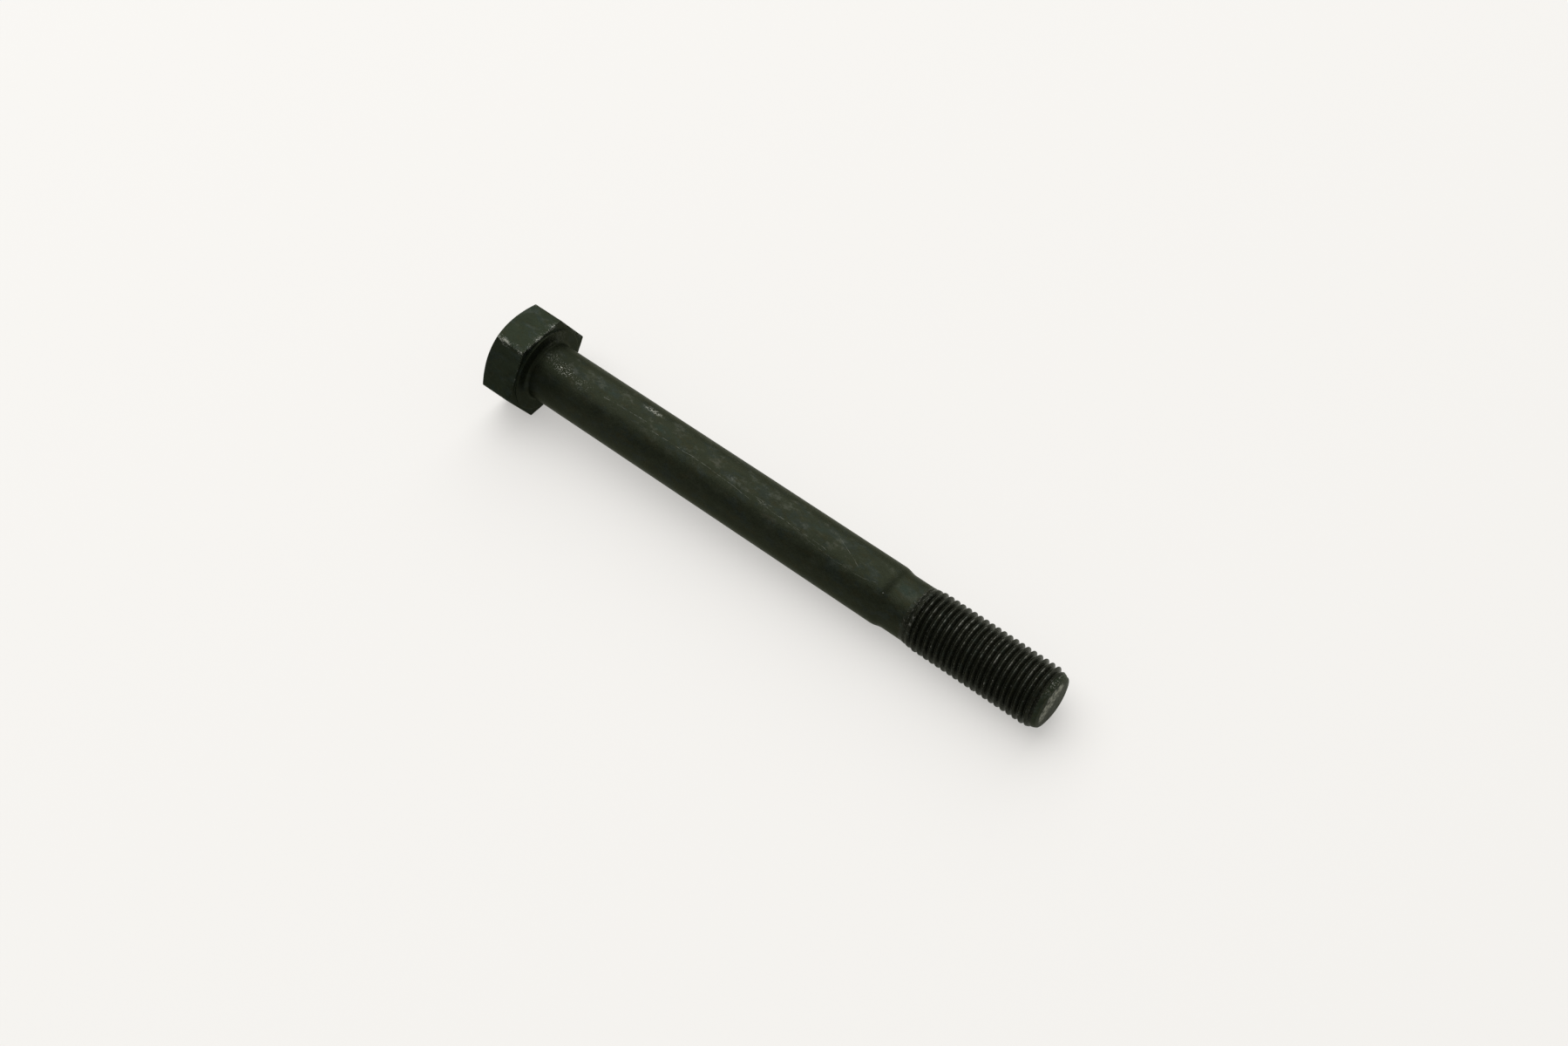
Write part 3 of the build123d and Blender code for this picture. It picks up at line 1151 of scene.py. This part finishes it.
film = use_group(tree, mottle, ground=(0.0125, 0.016, 0.0095, 1), patch_length=4.0)
ragged = sum_of(tree, "SUBTRACT", noise(tree, mm_place(tree), 0.9, 4.0, 0.65), 0.5)
ragged = product(tree, ragged, band_ragged)
above = fade(tree, sum_of(tree, "ADD", height, ragged), 0.3, 1.6)
within = fade(tree, sum_of(tree, "ADD", from_axis, product(tree, ragged, 0.3)), 5.3, 4.7)
pits = use_group(tree, specks, spacing=0.9, size=0.3, share=0.4)["Mask"]
streaks = patches(tree, 1.1, 0.42, 0.6)
streaks = sum_of(tree, "MULTIPLY_ADD", streaks, band_streaks, band_least)
band = product(tree, above, within, sum_of(tree, "SUBTRACT", 1.0, pits), streaks)
chipped = spots(tree, skin_place(tree), chipped_sides)
chips = patches(tree, 2.4, 0.53, 0.62, detail=3.0)
chipped = product(tree, chips, chipped, fade(tree, from_axis, 5.3, 5.7))
bare = strongest(tree, [band, chipped])

on_cone = fade(tree, from_axis, 5.1, 5.4)
colour = blend(tree, on_cone, film["Color"], scaled(tree, film["Color"], cone_brightness))
colour = blend(tree, bare, colour, bare_steel)
relief = sum_of(tree, "SUBTRACT", film["Grain"], pits)
values = {"metallic": (0.4, 0.7), "roughness": (0.36, 0.48, 0.42), "level": 0.06, "depth": 0.03}
dress(tree, shader, film, colour, bare, relief=relief, **values)
print(f"{rubbed_end.name}: {len(tree.nodes)} nodes")

# %% Give each face its finish
cone_rim = 1.0  # the end's finish begins this far up the cone
for material in (oxide, thread, rubbed_end):
    bolt_mesh.materials.append(material)
lowest_station = np.array([station_of[face].min() for face in faces])
finish_of_face = (lowest_station > first_groove).astype(int) + (lowest_station > rim_station - cone_rim)
bolt_mesh.polygons.foreach_set("material_index", finish_of_face.astype(np.int32))
bolt_mesh.update()
print("faces of each finish:", np.bincount(finish_of_face))

# %% Join the bolt to the frame
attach(bolt, "root")
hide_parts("bolt")
print("the mesh stands for the frame's bolt")

# %% [markdown]
# ## Floor
# The bolt lies on pale paper. White paper beside a black bolt would light its underside from
# below, so the paper is pale only for the camera and for reflections, and dark grey for the
# light that it throws back. About half of the paleness is light that falls on it, which gives
# the bolt its soft shadow, and the rest is a glow of its own that doesn't reach the bolt.

# %% Lay the paper
floor_half = 12.0  # in metres, so that its edge is far off in low views
floor_mesh = bpy.data.meshes.new("floor")
signs = ((-1, -1), (1, -1), (1, 1), (-1, 1))
floor_corners = [(x * floor_half, y * floor_half, 0) for x, y in signs]
floor_mesh.from_pydata(floor_corners, [], [(0, 1, 2, 3)])
floor = put_in_scene("floor", floor_mesh)
floor.location.z = floor_level
floor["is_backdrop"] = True

paper, tree, shader = new_finish("pale_paper")
paper_colour, thrown_grey = (0.855, 0.839, 0.811, 1), (0.2, 0.2, 0.2, 1)
lit_share = 0.48
rays = add_node(tree, "LightPath").outputs
looked_at = strongest(tree, [rays[f"Is {kind} Ray"] for kind in ("Camera", "Glossy", "Transmission")])
lit_colour = tuple(lit_share * part for part in paper_colour[:3]) + (1,)
tree.links.new(blend(tree, looked_at, thrown_grey, lit_colour), shader.inputs["Base Color"])
shader.inputs["Emission Color"].default_value = paper_colour
tree.links.new(product(tree, looked_at, 1 - lit_share), shader.inputs["Emission Strength"])
shader.inputs["Roughness"].default_value = 0.9
shader.inputs["Specular IOR Level"].default_value = 0.0
floor_mesh.materials.append(paper)
print(f"{floor.name} at {floor_level / MM:.2f} mm")

# %% [markdown]
# ## Light
# One large softbox hangs behind the head and slopes down along the bolt's far side. A long
# soft source gives a dark cylinder a single broad band of light, where small lamps would give
# several thin lines. The room itself adds an even grey.

# %% Softbox and room
room_strength = 0.4
world = bpy.data.worlds.new("studio")
world.use_nodes = True
room = world.node_tree.nodes["Background"]
room.inputs["Color"].default_value = (1, 1, 1, 1)
room.inputs["Strength"].default_value = room_strength
bpy.context.scene.world = world

softbox_width = 4.1
softbox_radiance = 2.2
near_edge, far_edge = Vector((-1.8, -2.4, 3.8)), Vector((-1.8, 5.0, 1.5))
lamp = bpy.data.lights.new("softbox", "AREA")
lamp.shape = "RECTANGLE"
lamp.size = softbox_width
lamp.size_y = (far_edge - near_edge).length
lamp.energy = softbox_radiance * pi * lamp.size * lamp.size_y
softbox = put_in_scene("softbox", lamp)
across = Vector((1, 0, 0))
up_the_box = (far_edge - near_edge).normalized()
softbox.matrix_world = Matrix.Translation((near_edge + far_edge) / 2) @ Matrix(
    (across, up_the_box, across.cross(up_the_box))
).transposed().to_4x4()
bpy.context.scene.view_settings.view_transform = "Standard"
print(f"softbox of {lamp.size:.1f} by {lamp.size_y:.1f} m")

# %% [markdown]
# ## The size against the frame
# How far the mesh reaches past the frame's box at each of its six sides is printed, in mm.
# The mesh has to stay inside the frame's box.

# %% Print how far the mesh reaches past the frame's box
new_low, new_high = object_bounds()
growth = [1000 * value for value in (*(cad_low - new_low), *(new_high - cad_high))]
print("beyond the CAD box, in mm:", [round(value, 3) for value in growth])
